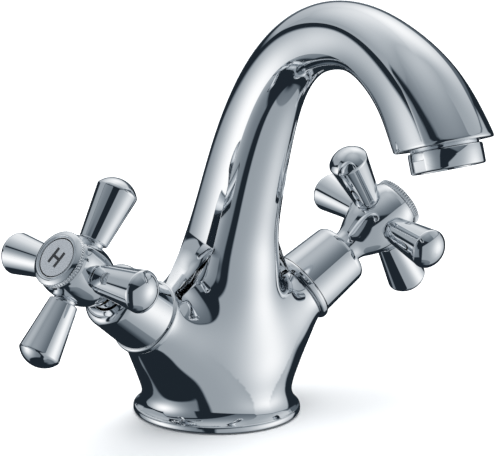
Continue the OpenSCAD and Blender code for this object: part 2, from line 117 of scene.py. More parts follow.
def new_object(name, verts, faces, normals=None, smooth=True):
    """A mesh object in the scene. Verts are in metres; normals, where given, are one for each vertex."""
    mesh = bpy.data.meshes.new(name)
    mesh.from_pydata([tuple(v) for v in verts], [], [tuple(int(i) for i in f) for f in faces])
    mesh.validate()
    if smooth:
        mesh.polygons.foreach_set("use_smooth", [True] * len(mesh.polygons))
    mesh.update()
    if normals is not None:
        mesh.normals_split_custom_set_from_vertices([tuple(n) for n in normals])
    obj = bpy.data.objects.new(name, mesh)
    bpy.context.scene.collection.objects.link(obj)
    return obj


def valve_matrix(side):
    """The valve's place, with Z out along its spindle."""
    turn = -SWING if side == "cold" else math.pi + SWING
    place = Matrix.Translation(PIVOT * MM)
    return place @ Matrix.Rotation(turn, 4, "Z") @ Matrix.Rotation(math.pi / 2 - RISE, 4, "Y")


def outlet_matrix():
    """The outlet's place, with Z out along the water."""
    place = Matrix.Translation((0, -OUTLET_REACH * MM, OUTLET_HEIGHT * MM))
    return place @ Matrix.Rotation(math.pi - math.radians(OUTLET_TILT), 4, "X")


def circle(angles, ex, ey):
    """Directions round a circle in the plane of ex and ey, one for each angle."""
    return np.cos(angles)[:, None] * ex + np.sin(angles)[:, None] * ey


def even_angles(sides):
    return np.arange(sides) * 2 * math.pi / sides


def ring_points(radii, angles, height):
    """Points in metres round the Z axis, each at its own radius in millimetres."""
    return [(r * math.cos(a) * MM, r * math.sin(a) * MM, height * MM) for r, a in zip(radii, angles)]


def ring_faces(rings, sides):
    """Quads between rings of points that each go once round."""
    faces = []
    for k in range(rings - 1):
        for j in range(sides):
            n = (j + 1) % sides
            faces.append((k * sides + j, k * sides + n, (k + 1) * sides + n, (k + 1) * sides + j))
    return faces


def rounded(corners, steps=5):
    """A profile of corners (radius, distance, corner radius) with each corner rounded, and its normals."""
    pts, nrm = [], []
    p = [np.array(c[:2], float) for c in corners]
    last = len(p) - 1

    def side(a, b):
        d = (b - a) / max(np.linalg.norm(b - a), 1e-9)
        return np.array([d[1], -d[0]])

    for i, c in enumerate(corners):
        before = side(p[i - 1], p[i]) if i else None
        after = side(p[i], p[i + 1]) if i < last else None
        r = c[2] if len(c) > 2 else 0
        if before is None or after is None:
            pts.append(p[i])
            nrm.append(after if before is None else before)
            continue
        if r <= 0:
            pts += [p[i], p[i]]
            nrm += [before, after]
            continue
        turn = math.acos(float(np.clip(before @ after, -1, 1)))
        if turn < 1e-4:
            pts.append(p[i])
            nrm.append(after)
            continue
        cut = r * math.tan(turn / 2)
        start = p[i] + (p[i - 1] - p[i]) / np.linalg.norm(p[i - 1] - p[i]) * cut
        sign = 1 if before[0] * after[1] - before[1] * after[0] > 0 else -1
        centre = start - before * r * sign
        a0 = math.atan2(before[1], before[0])
        for k in range(steps + 1):
            a = a0 + sign * turn * k / steps
            n = np.array([math.cos(a), math.sin(a)])
            pts.append(centre + n * r * sign)
            nrm.append(n)
    return np.array(pts), np.array(nrm)


def smooth_profile(knots, steps=6):
    """A curve through points (radius, distance), with its normals."""
    k = np.array(knots, float)
    s = np.concatenate([[0], np.cumsum(np.hypot(*np.diff(k, axis=0).T))])
    fr, fd = spline(s, k[:, 0]), spline(s, k[:, 1])
    t = np.interp(np.arange((len(k) - 1) * steps + 1) / steps, np.arange(len(k)), s)
    pts = np.stack([fr(t), fd(t)], 1)
    d = np.stack([fr(t, True), fd(t, True)], 1)
    d /= np.linalg.norm(d, axis=1)[:, None]
    return pts, np.stack([d[:, 1], -d[:, 0]], 1)


def revolve(name, profile, matrix, sides=144):
    """Turns a profile about the matrix's Z axis. The profile runs with its outside on the right."""
    pts, nrm = profile
    cos, sin = np.cos(even_angles(sides)), np.sin(even_angles(sides))
    verts = np.stack([np.outer(pts[:, 0], cos), np.outer(pts[:, 0], sin),
                      np.outer(pts[:, 1], np.ones(sides))], 2).reshape(-1, 3) * MM
    normals = np.stack([np.outer(nrm[:, 0], cos), np.outer(nrm[:, 0], sin),
                        np.outer(nrm[:, 1], np.ones(sides))], 2).reshape(-1, 3)
    faces = []
    for k in range(len(pts) - 1):
        if np.linalg.norm(pts[k + 1] - pts[k]) < 1e-6:
            continue
        for j in range(sides):
            n = (j + 1) % sides
            f = [k * sides + j, k * sides + n, (k + 1) * sides + n, (k + 1) * sides + j]
            if pts[k][0] < 1e-6:
                f = [k * sides, f[2], f[3]]
            elif pts[k + 1][0] < 1e-6:
                f = [f[0], f[1], (k + 1) * sides]
            faces.append(f)
    obj = new_object(name, verts, faces, normals)
    obj.matrix_world = matrix
    return obj


def joined(*profiles):
    """Profiles one after another as one."""
    return np.concatenate([p[0] for p in profiles]), np.concatenate([p[1] for p in profiles])


# ---- body and spout, one unbroken skin

arc = np.concatenate([[0], np.cumsum([math.dist(a[:2], b[:2]) for a, b in zip(STATIONS, STATIONS[1:])])])
SKIN_GAP = 0.06  # how far the skin stays inside the CAD's sections
C_Y = spline(arc, [-s[0] for s in STATIONS])
C_Z = spline(arc, [s[1] for s in STATIONS])
C_LEAN = spline(arc, [math.radians(s[2]) for s in STATIONS])
C_R = spline(arc, [s[3] - SKIN_GAP for s in STATIONS])

# radius of the flared foot by height, radius of a shoulder by distance along its valve, width of their fillet
FLARE = spline([0, 2.6, 3.3, 4.2, 5.4, 7.0, 9.0, 12.0, 16.0, 22.0],
               [30.2, 28.8, 27.95, 27.1, 26.3, 25.58, 25.15, 25.1, 25.35, 25.4])
SHOULDER = spline([0, 8, 16, 24, 32, 36.6, 39.6, 42], [20.8, 20.8, 20.2, 18.2, 15.4, 13.35, 12.2, 11.7])
FILLET = 13.0


def valve_axis(side):
    s = 1 if side == "cold" else -1
    return np.array([s * math.cos(RISE) * math.cos(SWING), -math.cos(RISE) * math.sin(SWING), math.sin(RISE)])


def valve_frame(side):
    """The valve's axis and two directions across it."""
    n = valve_axis(side)
    ex = np.cross([0, 0, 1.0], n)
    ex /= np.linalg.norm(ex)
    return n, ex, np.cross(n, ex)


def smin(a, b, k):
    """The lesser of two fields, with the seam between them filleted over a width of k."""
    h = np.maximum(k - np.abs(a - b), 0) / k
    return np.minimum(a, b) - h ** 3 * (4 - h) * k / 16


def core_field(p):
    """Distance from the swept core, turning into the flared foot below 18 mm."""
    t = p[:, 2] - STATIONS[0][1]
    for _ in range(6):
        lean = C_LEAN(t)
        gap = (p[:, 1] - C_Y(t)) * -np.sin(lean) + (p[:, 2] - C_Z(t)) * np.cos(lean)
        t = np.clip(t + gap, -20, arc[8])
    lean = C_LEAN(t)
    up = (p[:, 1] - C_Y(t)) * np.cos(lean) + (p[:, 2] - C_Z(t)) * np.sin(lean)
    low = np.minimum(t, 0)
    along = np.maximum(t, 0)
    f = (np.hypot(p[:, 0], up) - C_R(along) + 0.02 * low) / np.sqrt(1 + C_R(along, True) ** 2)
    z = np.clip(p[:, 2], 0, 22)
    g = (np.hypot(p[:, 0], p[:, 1]) - FLARE(z)) / np.sqrt(1 + FLARE(z, True) ** 2)
    w = np.clip((p[:, 2] - 9) / 9, 0, 1)
    w = w * w * w * (10 - 15 * w + 6 * w * w)
    return g * (1 - w) + f * w


def field(p):
    """Distance from the body's outside in millimetres, less than 0 inside."""
    f = core_field(p)
    q = p - PIVOT
    for side in SIDES:
        d = q @ valve_axis(side)
        rho = np.sqrt(np.maximum((q * q).sum(1) - d * d, 0))
        dc = np.clip(d, 0, 44)
        g = (rho - SHOULDER(dc)) / np.sqrt(1 + SHOULDER(dc, True) ** 2)
        g = np.where(d < 4, np.maximum(g, 4 - d), g)
        f = smin(f, g, FILLET)
    return f


def gradient(p, h=0.01):
    """The field's slope at each point."""
    g = np.empty_like(p)
    for i in range(3):
        e = np.zeros(3)
        e[i] = h
        g[:, i] = (field(p + e) - field(p - e)) / (2 * h)
    return g


def settle(p, times):
    """Moves points on to the field's surface."""
    for _ in range(times):
        g = gradient(p)
        p = p - g * (field(p) / np.maximum((g * g).sum(1), 1e-9))[:, None]
    return p


def surface_nets(low, high, step):
    """The field's surface within a box, as points and quads: one point in each cell that it crosses."""
    n = [int(math.ceil((b - a) / step)) + 1 for a, b in zip(low, high)]
    axes = [low[i] + step * np.arange(n[i]) for i in range(3)]
    grid = np.empty(n)
    for k in range(n[2]):
        x, y = np.meshgrid(axes[0], axes[1], indexing="ij")
        pts = np.stack([x.ravel(), y.ravel(), np.full(x.size, axes[2][k])], 1)
        grid[:, :, k] = field(pts).reshape(n[0], n[1])
    inside = grid < 0
    cells = [m - 1 for m in n]
    total = np.zeros(cells + [3])
    count = np.zeros(cells)
    corners = [(i, j, k) for i in (0, 1) for j in (0, 1) for k in (0, 1)]

    def part(arr, c):
        return arr[c[0] : c[0] + cells[0], c[1] : c[1] + cells[1], c[2] : c[2] + cells[2]]

    for a in corners:
        for ax in range(3):
            if a[ax]:
                continue
            b = list(a)
            b[ax] = 1
            ga, gb = part(grid, a), part(grid, b)
            cross = part(inside, a) != part(inside, b)
            t = np.where(cross, ga / np.where(cross, ga - gb, 1), 0)
            for c in range(3):
                total[..., c] += np.where(cross, a[c] + (t if c == ax else 0), 0)
            count += cross
    used = count > 0
    index = np.full(cells, -1)
    index[used] = np.arange(used.sum())
    where = np.argwhere(used)
    verts = np.array(low) + step * (where + total[used] / count[used][:, None])
    quads = []
    for ax in range(3):
        b, c = (ax + 1) % 3, (ax + 2) % 3
        lo = [slice(1, -1)] * 3
        lo[ax] = slice(0, -1)
        hi = list(lo)
        hi[ax] = slice(1, None)
        start, end = inside[tuple(lo)], inside[tuple(hi)]
        edges = np.argwhere(start != end)
        out = start[tuple(edges.T)]
        edges = edges + np.array([0 if i == ax else 1 for i in range(3)])
        ring = []
        for db, dc in ((-1, -1), (0, -1), (0, 0), (-1, 0)):
            e = edges.copy()
            e[:, b] += db
            e[:, c] += dc
            ring.append(index[tuple(e.T)])
        q = np.stack(ring, 1)
        q[~out] = q[~out][:, ::-1]
        quads.append(q)
    return verts, np.concatenate(quads)


def ring_at(t):
    """Centre, across and up directions and radius of the spout's section at t."""
    lean = float(C_LEAN(t))
    return (np.array([0, float(C_Y(t)), float(C_Z(t))]), np.array([1.0, 0, 0]),
            np.array([0, math.cos(lean), math.sin(lean)]), float(C_R(t)))


# where rings take over from the net: on the spout's arc, at the foot and along each valve
NECK_T = float(arc[6] - 3.0)
LOW_CUT = 2.6
END_CUT = SHOULDER_END - 0.5
BORE_R = 9.0
X, Y, Z = np.eye(3)


def even_net(step):
    """The field's surface as points and quads, with the points spread evenly."""
    verts, quads = surface_nets((-44, -34, 0.6), (44, 30, 72), step)
    for _ in range(2):
        near = np.zeros_like(verts)
        count = np.zeros(len(verts))
        for a, b in ((0, 1), (1, 2), (2, 3), (3, 0)):
            np.add.at(near, quads[:, a], verts[quads[:, b]])
            np.add.at(count, quads[:, a], 1)
        verts = settle(verts * 0.4 + near / np.maximum(count, 1)[:, None] * 0.6, 1)
    return settle(verts, 2), quads


def cut_planes():
    """Where the net is cut: name, centre, outward normal, the rim's two directions and its radius."""
    centre, across, up, radius = ring_at(NECK_T)
    cuts = [("low", LOW_CUT * Z, -Z, X, Y, float(FLARE(LOW_CUT))),
            ("neck", centre, np.cross(across, up), across, up, radius)]
    for side in SIDES:
        n, ex, ey = valve_frame(side)
        cuts.append((side, PIVOT + n * END_CUT, n, ex, ey, float(SHOULDER(END_CUT))))
    return cuts


def cut_rims(bm, step):
    """Cuts the net at each plane and makes each rim a true circle. Gives each rim's points and angles."""
    cuts = cut_planes()

    def on_plane(at, normal, within):
        return [v for v in bm.verts if v.is_boundary and abs((np.array(v.co) - at) @ normal) < within]

    for _, at, normal, *_ in cuts:
        bmesh.ops.bisect_plane(bm, geom=bm.verts[:] + bm.edges[:] + bm.faces[:], dist=1e-5,
                               plane_co=Vector(at), plane_no=Vector(normal), clear_outer=True)
    for _, at, normal, *_ in cuts:
        bmesh.ops.remove_doubles(bm, verts=on_plane(at, normal, 1e-3), dist=0.25 * step)
    rims = {}
    for name, at, normal, ex, ey, radius in cuts:
        rim = on_plane(at, normal, 2e-3)
        off = np.array([v.co for v in rim]) - at
        angles = np.arctan2(off @ ey, off @ ex)
        order = np.argsort(angles)
        rim, angles = [rim[i] for i in order], angles[order]
        for v, place in zip(rim, at + radius * circle(angles, ex, ey)):
            v.co = Vector(place)
        rims[name] = rim, angles
    return rims


def extend(bm, rim, rings, outward):
    """Carries a rim on with rings of points, in the rim's own order. Gives the last ring."""
    for ring in rings:
        new = [bm.verts.new(p) for p in ring]
        for j in range(len(rim)):
            n = (j + 1) % len(rim)
            f = [rim[j], rim[n], new[n], new[j]]
            bm.faces.new(f if outward else f[::-1])
        rim = new
    return rim


def add_foot(bm, rim, angles):
    """The rounded lip, the groove of the base seal, and the flat underside with its tapped holes."""
    lip = [(29.1, 2.5), (29.33, 2.3), (29.48, 2.02), (29.56, 1.68), (BASE_R, 1.35), (BASE_R, 0.95),
           (29.55, 0.62), (29.4, 0.34), (29.17, 0.14), (28.87, 0.03), (28.5, 0.0), (26.75, 0.0), (26.7, 0.05),
           (26.7, 1.9), (23.7, 1.9), (23.7, 0.05), (23.65, 0.0)]
    last = extend(bm, rim, [r * circle(angles, X, Y) + z * Z for r, z in lip], False)
    fill = [bm.edges.get((last[j], last[(j + 1) % len(last)])) for j in range(len(last))]
    sides = 40
    mouths = []
    for x, y, r, depth in TAPPED:
        ring = [bm.verts.new((x + r * math.cos(a), y + r * math.sin(a), 0)) for a in even_angles(sides)]
        fill += [bm.edges.new((ring[j], ring[(j + 1) % sides])) for j in range(sides)]
        mouths.append(ring)
    bmesh.ops.triangle_fill(bm, edges=fill, use_beauty=True, use_dissolve=False,
                            normal=(0, 0, -1))
    for (x, y, r, depth), ring in zip(TAPPED, mouths):
        walls = []
        for wall_r, z in ((r - 0.02, 0.03), (r, depth), (r * 0.4, depth + 1.2), (0.05, depth + 1.25)):
            walls.append(np.array([x, y, z]) + wall_r * circle(even_angles(sides), X, Y))
        end = extend(bm, ring, walls, False)
        bm.faces.new(end[::-1])


def add_shoulder(bm, side, rim, angles):
    """A small rounded edge, then the face under the cover and the mouth of the bore."""
    n, ex, ey = valve_frame(side)
    r = float(SHOULDER(END_CUT))
    profile = [(r - 0.02, END_CUT + 0.2), (r - 0.1, END_CUT + 0.36), (r - 0.26, END_CUT + 0.47),
               (r - 0.45, SHOULDER_END), (BORE_R + 0.05, SHOULDER_END), (BORE_R, SHOULDER_END - 0.1),
               (BORE_R, 34.0)]
    extend(bm, rim, [PIVOT + d * n + radius * circle(angles, ex, ey) for radius, d in profile], True)


def add_spout(bm, rim, angles):
    """Rings on to the outlet, then its rounded lip, its face and the tapped socket."""
    t_end = float(arc[-1])
    rings = []
    for t in np.linspace(NECK_T, t_end - 1.0, 190)[1:]:
        centre, across, up, r = ring_at(float(t))
        rings.append(centre + r * circle(angles, across, up))
    centre, across, up, r = ring_at(t_end)
    around = circle(angles, across, up)
    start, corner, face = rings[-1], centre + r * around, centre + (r - 0.75) * around
    for s in np.arange(1, 8) / 7:
        rings.append((1 - s) ** 2 * start + 2 * s * (1 - s) * corner + s * s * face)
    inward = -np.cross(across, up)
    for radius, depth in ((11.35, 0), (11.2, 0.06), (11.1, 0.25), (11.1, 7.0), (0.2, 7.05)):
        rings.append(centre + inward * depth + radius * around)
    end = extend(bm, rim, rings, True)
    bm.faces.new(end[::-1])


def skin_normals(mesh):
    """One normal for each vertex: the field's own gradient on the net, the mesh's elsewhere."""
    co = np.empty(len(mesh.vertices) * 3)
    mesh.vertices.foreach_get("co", co)
    co = co.reshape(-1, 3)
    normals = np.empty(len(mesh.vertices) * 3)
    mesh.vertices.foreach_get("normal", normals)
    normals = normals.reshape(-1, 3)
    on_net = np.abs(field(co)) < 0.01
    for _, at, outward, *_ in cut_planes():
        on_net &= (co - at) @ outward < 0.01
    g = gradient(co[on_net])
    normals[on_net] = g / np.linalg.norm(g, axis=1)[:, None]
    return normals


def build_skin():
    """The body and the spout as one mesh in one piece."""
    step = 0.75
    verts, quads = even_net(step)
    bm = bmesh.new()
    made = [bm.verts.new(v) for v in verts]
    for q in quads:
        try:
            bm.faces.new([made[i] for i in q])
        except ValueError:
            pass
    rims = cut_rims(bm, step)
    add_foot(bm, *rims["low"])
    for side in SIDES:
        add_shoulder(bm, side, *rims[side])
    add_spout(bm, *rims["neck"])
    bmesh.ops.remove_doubles(bm, verts=bm.verts[:], dist=1e-4)
    bm.normal_update()
    mesh = bpy.data.meshes.new("chrome_skin")
    bm.to_mesh(mesh)
    bm.free()
    normals = skin_normals(mesh)
    mesh.transform(Matrix.Scale(MM, 4))
    mesh.polygons.foreach_set("use_smooth", [True] * len(mesh.polygons))
    mesh.update()
    mesh.normals_split_custom_set_from_vertices([tuple(v) for v in normals])
    obj = bpy.data.objects.new("chrome_skin", mesh)
    bpy.context.scene.collection.objects.link(obj)
    return obj


# ---- materials

def make_material(name, base, metallic, rough, rough_vary, scale, tint_vary, bump=0.0, bump_scale=0.0):
    """A procedural finish: the tint and roughness drift softly over the surface, with a fine grain on top."""
    mat = bpy.data.materials.new(name)
    mat.use_nodes = True
    tree = mat.node_tree
    shader = tree.nodes["Principled BSDF"]
    shader.inputs["Metallic"].default_value = metallic
    coords = tree.nodes.new("ShaderNodeTexCoord")
    soft = tree.nodes.new("ShaderNodeTexNoise")
    soft.inputs["Scale"].default_value = scale
    soft.inputs["Detail"].default_value = 4.0
    tree.links.new(coords.outputs["Object"], soft.inputs["Vector"])
    mix = tree.nodes.new("ShaderNodeMix")
    mix.data_type = "RGBA"
    mix.inputs["A"].default_value = (*[max(c * (1 - tint_vary), 0) for c in base], 1)
    mix.inputs["B"].default_value = (*[min(c * (1 + tint_vary), 1) for c in base], 1)
    tree.links.new(soft.outputs["Fac"], mix.inputs["Factor"])
    tree.links.new(mix.outputs["Result"], shader.inputs["Base Color"])
    spread = tree.nodes.new("ShaderNodeMapRange")
    spread.inputs["From Min"].default_value = 0.3
    spread.inputs["From Max"].default_value = 0.7
    spread.inputs["To Min"].default_value = max(rough - rough_vary, 0.005)
    spread.inputs["To Max"].default_value = rough + rough_vary
    tree.links.new(soft.outputs["Fac"], spread.inputs["Value"])
    tree.links.new(spread.outputs["Result"], shader.inputs["Roughness"])
    if bump:
        fine = tree.nodes.new("ShaderNodeTexNoise")
        fine.inputs["Scale"].default_value = bump_scale
        fine.inputs["Detail"].default_value = 6.0
        tree.links.new(coords.outputs["Object"], fine.inputs["Vector"])
        relief = tree.nodes.new("ShaderNodeBump")
        relief.inputs["Strength"].default_value = bump
        relief.inputs["Distance"].default_value = 0.0003
        tree.links.new(fine.outputs["Fac"], relief.inputs["Height"])
        tree.links.new(relief.outputs["Normal"], shader.inputs["Normal"])
    return mat


# base colour, metallic, roughness and its drift, the scale of the drift, the tint's drift, then the grain's
# strength and scale
FINISHES = {
    "chrome": ((0.80, 0.825, 0.85), 1.0, 0.035, 0.02, 55.0, 0.015),
    "brass": ((0.72, 0.53, 0.24), 1.0, 0.28, 0.06, 90.0, 0.05, 0.25, 1500.0),
    "rubber": ((0.022, 0.022, 0.024), 0.0, 0.62, 0.08, 120.0, 0.15, 0.35, 1200.0),
    "disc_ceramic": ((0.86, 0.85, 0.81), 0.0, 0.22, 0.05, 80.0, 0.02, 0.08, 1500.0),
    "index_satin": ((0.30, 0.32, 0.345), 0.0, 0.36, 0.05, 200.0, 0.03, 0.2, 2600.0),
    "index_ink": ((0.018, 0.019, 0.022), 0.0, 0.4, 0.08, 300.0, 0.15, 0.15, 2500.0),
    "white_plastic": ((0.72, 0.73, 0.745), 0.0, 0.35, 0.05, 150.0, 0.03, 0.12, 1800.0),
    "steel": ((0.58, 0.59, 0.60), 1.0, 0.24, 0.06, 160.0, 0.04, 0.2, 2200.0),
}
MATERIALS = {name: make_material(name, *finish) for name, finish in FINISHES.items()}


def finish_piece(obj, body, nodes, slot_name):
    """Sets the piece's place into its mesh, gives it its material, and says what it rides on and replaces."""
    obj.data.transform(obj.matrix_world)
    obj.matrix_world = Matrix.Identity(4)
    obj.data.materials.clear()
    obj.data.materials.append(MATERIALS[slot_name])
    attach(obj, body)
    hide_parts(*nodes)


slots = {s["node"]: s["material_slot"] for s in frame["record"]["subparts"]}
for node_name, node_obj in frame["nodes"].items():
    for s in node_obj.material_slots:
        s.material = MATERIALS[slots[node_name]]

finish_piece(build_skin(), "faucet", ["body", "spout"], "chrome")


# ---- covers, hubs, arms and caps

def cover_profile():
    """The tapered cover, from the foot of its bead to the hole in its end."""
    low, bead_top = SHOULDER_END + 0.02, SHOULDER_END + 3.2
    outer = [(10.3, low), (13.4, low, 1.25), (13.4, bead_top, 1.25), (12.45, bead_top, 0.3),
             (11.2, COVER_END, 3.0), (6.55, COVER_END, 0.35), (6.55, COVER_END - 1.3)]
    return rounded(outer, 6)


def hub_profile():
    """The neck that runs into the cover, the barrel and its top edge."""
    neck = smooth_profile([(6.1, 60.2), (6.1, 65.0), (6.35, 66.7), (7.35, 68.8), (8.65, 71.3), (9.85, 74.3),
                           (10.55, 77.6), (10.8, 81.2), (10.75, 84.6), (10.45, 87.2), (10.0, 88.7)], 5)
    top = rounded([(10.0, 88.7), (9.55, HUB_TOP, 0.25), (7.0, HUB_TOP)], 4)
    return joined(neck, top)


def arm_profile():
    """The stub in the hub, the tapered barrel and the domed end, along the arm."""
    stub = rounded([(3.8, 9.0), (3.8, 11.0, 0.2), (4.95, 11.15, 0.6), (7.12, 29.3)], 5)
    dome = smooth_profile([(7.12, 29.3), (7.17, 29.85), (7.02, 30.4), (6.68, 30.9), (6.15, 31.55),
                           (5.2, 32.44), (3.7, 33.38), (1.85, 34.02), (0.0, 34.25)], 4)
    dome[1][-1] = (0.0, 1.0)
    return joined((stub[0][:-1], stub[1][:-1]), dome)


def cap_piece(name, matrix):
    """The knurled index cap: rim with fine teeth, raised ring, groove and the recess of the disc."""
    teeth, per_tooth, depth = 60, 10, 0.5
    sides = teeth * per_tooth
    phase = (np.arange(sides) % per_tooth) / per_tooth
    tooth = np.clip(np.abs(phase * 2 - 1) * 1.6 - 0.3, 0, 1)
    low, top = HUB_TOP + 0.05, CAP_TOP
    # radius, height, how much of the teeth
    rows = [(8.4, low, 0), (9.3, low, 0), (9.55, low + 0.1, 0), (9.68, low + 0.26, 0.1), (9.78, low + 0.4, 1),
            (9.78, top - 1.12, 1), (9.7, top - 0.98, 0.3), (9.62, top - 0.88, 0), (9.45, top - 0.72, 0),
            (9.1, top - 0.5, 0), (8.55, top - 0.2, 0), (8.2, top - 0.06, 0), (7.95, top, 0),
            (7.78, top - 0.06, 0), (7.7, top - 0.2, 0), (7.65, top - 0.75, 0), (7.55, top - 0.82, 0),
            (7.42, top - 0.82, 0), (7.35, top - 0.72, 0), (7.3, top - 0.22, 0), (7.22, top - 0.12, 0),
            (7.1, top - 0.12, 0), (7.02, top - 0.22, 0), (6.98, top - 0.95, 0)]
    verts = []
    for r, z, amount in rows:
        verts += ring_points(r - depth * tooth * amount, even_angles(sides), z)
    obj = new_object(name, verts, ring_faces(len(rows), sides))
    obj.matrix_world = matrix
    return obj


def disc_profile():
    top = CAP_TOP - 0.2
    return rounded([(6.5, top - 0.6), (6.66, top - 0.2, 0.05), (6.55, top, 0.08), (0.0, top)], 3)


def bevelled_bar(w, h, depth, edge, x):
    """A flat bar with softened top edges, centred at x, as vertices and faces."""
    rings = [(0, 0), (0, depth - edge), (edge, depth)]
    verts = []
    for inset, z in rings:
        for sx, sy in ((-1, -1), (1, -1), (1, 1), (-1, 1)):
            verts.append((x + sx * (w / 2 - inset), sy * (h / 2 - inset), z))
    faces = []
    for k in (0, 1):
        for j in range(4):
            n = (j + 1) % 4
            faces.append((k * 4 + j, k * 4 + n, k * 4 + 4 + n, k * 4 + 4 + j))
    faces.append((8, 9, 10, 11))
    return verts, faces


def straight_letter(bar, high, wide, depth):
    """Two uprights and a crossbar, as vertices and faces."""
    verts, faces = [], []
    upright = (wide - bar) / 2
    bars = [bevelled_bar(bar, high, depth, 0.04, x) for x in (-upright, upright)]
    bars.append(bevelled_bar(wide - 2 * bar + 0.1, bar * 0.85, depth, 0.03, 0))
    for bar_verts, bar_faces in bars:
        faces += [tuple(i + len(verts) for i in face) for face in bar_faces]
        verts += bar_verts
    return verts, faces


def round_letter(bar, high, depth):
    """A round bar open on one side, as vertices and faces."""
    steps, r, gap = 40, high / 2, 88
    verts, faces = [], []
    rows = [(0, 0), (0, depth - 0.04), (0.04, depth)]
    for i in range(steps + 1):
        a = math.radians(gap / 2 + (360 - gap) * i / steps)
        for inset, z in rows:
            verts.append(((r - inset) * math.cos(a), (r - inset) * math.sin(a), z))
        for inset, z in rows[::-1]:
            verts.append(((r - bar + inset) * math.cos(a), (r - bar + inset) * math.sin(a), z))
    for i in range(steps):
        for k in range(5):
            faces.append((i * 6 + k, (i + 1) * 6 + k, (i + 1) * 6 + k + 1, i * 6 + k + 1))
    faces.append((0, 1, 2, 3, 4, 5))
    faces.append(tuple(steps * 6 + k for k in (5, 4, 3, 2, 1, 0)))
    return verts, faces


def letter_piece(name, side, matrix):
    """A plain index letter, its foot sunk 0.06 mm into the disc."""
    bar, high, wide, depth = 1.15, 5.8, 4.6, 0.12
    parts = straight_letter(bar, high, wide, depth) if side == "hot" else round_letter(bar, high, depth)
    foot = CAP_TOP - 0.26
    verts = [(x * MM, y * MM, (z + foot) * MM) for x, y, z in parts[0]]
    obj = new_object(name, verts, parts[1], smooth=False)
    turn = math.radians(TURN[side] + 90 - LETTER_LEAN)
    obj.matrix_world = matrix @ Matrix.Rotation(turn, 4, "Z")
    return obj


def quarter(side, i):
    """The direction of a handle's arm about its spindle, in radians."""
    start = -90 - 90 * i if side == "cold" else 90 + 90 * i
    return math.radians(TURN[side] + start)


for side in SIDES:
    valve = valve_matrix(side)
    handle = f"{side}_handle"
    cover = revolve(f"{side}_cover_skin", cover_profile(), valve)
    finish_piece(cover, "faucet", [f"{side}_cover"], "chrome")
    hub = revolve(f"{side}_hub_skin", hub_profile(), valve)
    finish_piece(hub, handle, [f"{side}_hub"], "chrome")
    for i, arm_name in enumerate(("front", "upper", "rear", "lower")):
        spin = Matrix.Rotation(quarter(side, i), 4, "Z")
        outward = Matrix.Rotation(math.pi / 2, 4, "Y")
        place = valve @ Matrix.Translation((0, 0, CROSS * MM)) @ spin @ outward
        arm = revolve(f"{side}_arm_{arm_name}_skin", arm_profile(), place, 112)
        finish_piece(arm, handle, [f"{side}_arm_{arm_name}"], "chrome")
    cap = cap_piece(f"{side}_cap_skin", valve)
    finish_piece(cap, handle, [f"{side}_index_cap"], "chrome")
    disc = revolve(f"{side}_disc_skin", disc_profile(), valve)
    finish_piece(disc, handle, [f"{side}_index_disc"], "index_satin")
    letter = letter_piece(f"{side}_letter_skin", side, valve)
    finish_piece(letter, handle, [f"{side}_index_letter"], "index_ink")


# ---- aerator

def aerator_collar():
    """The collar with its rounded edges and two spanner flats."""
    sides = 288
    angles = even_angles(sides)
    # radius, distance, whether the flats cut it
    rows = [(9.6, -5.5, False), (10.7, -5.4, False), (10.75, -0.2, False), (10.75, 0.75, False),
            (10.8, 0.86, False), (11.1, 0.9, False), (11.42, 0.98, False), (11.62, 1.16, False),
            (COLLAR_R, 1.4, False), (COLLAR_R, 3.5, False), (COLLAR_R, 3.6, True), (COLLAR_R, 3.7, True),
            (COLLAR_R, 6.8, True), (11.62, 7.08, True), (11.45, 7.28, True), (11.15, 7.4, True),
            (9.4, 7.4, False), (9.2, 7.32, False), (9.15, 6.9, False), (9.15, 4.0, False)]
    fold = np.cos(np.abs(((angles + math.pi / 2) % math.pi) - math.pi / 2))
    verts = []
    for r, z, flat in rows:
        limit = (COLLAR_FLATS / 2 - (COLLAR_R - r)) / np.maximum(fold, 1e-3)
        verts += ring_points(np.minimum(r, limit) if flat else np.full(sides, r), angles, z)
    obj = new_object("aerator_collar_skin", verts, ring_faces(len(rows), sides))
    obj.data.set_sharp_from_angle(angle=math.radians(28))
    obj.matrix_world = outlet_matrix()
    return obj


def honeycomb():
    """The plastic insert: a rim and a comb of hexagonal cells, open right through."""
    pitch, wall, rim, foot, top = 1.9, 0.28, 9.1, 3.0, 6.35
    cell_r = (pitch - wall) / math.sqrt(3)
    bm = bmesh.new()
    sides, reach = 96, 6
    outer = [bm.verts.new(p) for p in ring_points([rim] * sides, even_angles(sides), top)]
    edges = [bm.edges.new((outer[i], outer[(i + 1) % sides])) for i in range(sides)]
    cells = []
    for i in range(-reach, reach + 1):
        for j in range(-reach, reach + 1):
            x, y = pitch * (i + j / 2), pitch * j * math.sqrt(3) / 2
            if math.hypot(x, y) > rim - 1.25:
                continue
            ring = [bm.verts.new(((x + cell_r * math.cos(q)) * MM, (y + cell_r * math.sin(q)) * MM, top * MM))
                    for q in (np.arange(6) + 0.5) * math.pi / 3]
            edges += [bm.edges.new((ring[k], ring[(k + 1) % 6])) for k in range(6)]
            cells.append(ring)
    bmesh.ops.triangle_fill(bm, edges=edges, use_beauty=True, use_dissolve=False, normal=(0, 0, 1))
    for ring in cells + [outer]:
        low = [bm.verts.new((v.co.x, v.co.y, foot * MM)) for v in ring]
        for k in range(len(ring)):
            nxt = (k + 1) % len(ring)
            face = (ring[k], ring[nxt], low[nxt], low[k])
            bm.faces.new(face if ring is not outer else face[::-1])
    mesh = bpy.data.meshes.new("aerator_comb_skin")
    bm.to_mesh(mesh)
    bm.free()
    obj = bpy.data.objects.new("aerator_comb_skin", mesh)
    bpy.context.scene.collection.objects.link(obj)
    obj.matrix_world = outlet_matrix()
    return obj


